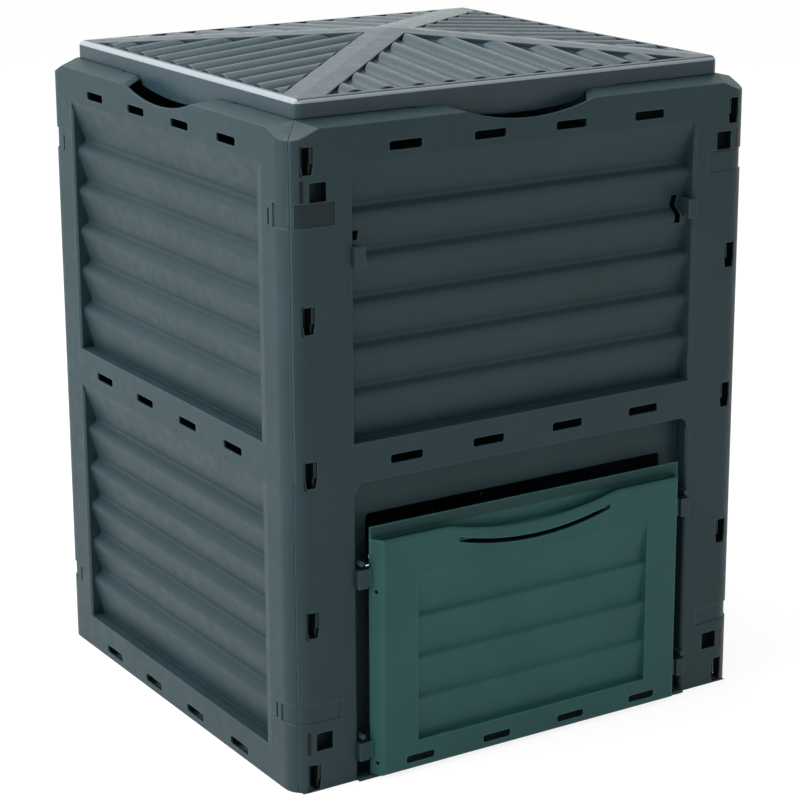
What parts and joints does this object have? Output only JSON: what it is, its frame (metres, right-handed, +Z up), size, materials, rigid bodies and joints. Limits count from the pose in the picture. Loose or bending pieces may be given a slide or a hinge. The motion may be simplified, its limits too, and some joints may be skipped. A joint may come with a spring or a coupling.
{
  "type": "compost bin",
  "caption": "Square-plan garden compost bin of slotted, louvred plastic wall panels with a lift-off hipped lid and a sliding hatch over the doorway at its foot.",
  "frame": {"origin": "middle of the whole object's footprint, on the ground", "axes": "+Z up, the hatch and the front wall face -Y, +X to the right seen from the front"},
  "size_m": [0.62, 0.603, 0.7953],
  "materials": {
    "wall_plastic": "moulded, fine grain, satin",
    "lid_plastic": "moulded, fine grain, satin",
    "hatch_plastic": "moulded, fine grain, satin"
  },
  "bodies": {
    "shell": {"front_wall": "wall_plastic", "back_wall": "wall_plastic", "left_wall": "wall_plastic", "right_wall": "wall_plastic"},
    "lid": {"lid": "lid_plastic"},
    "hatch": {"hatch": "hatch_plastic"}
  },
  "joints": [
    {"name": "hatch_slide", "type": "slide", "parent": "shell", "child": "hatch", "axis": [0, 0, 1], "range_m": [0, 0.363]},
    {"name": "lid_lift", "type": "slide", "parent": "shell", "child": "lid", "axis": [0, 0, 1], "range_m": [0, 0.3]}
  ]
}
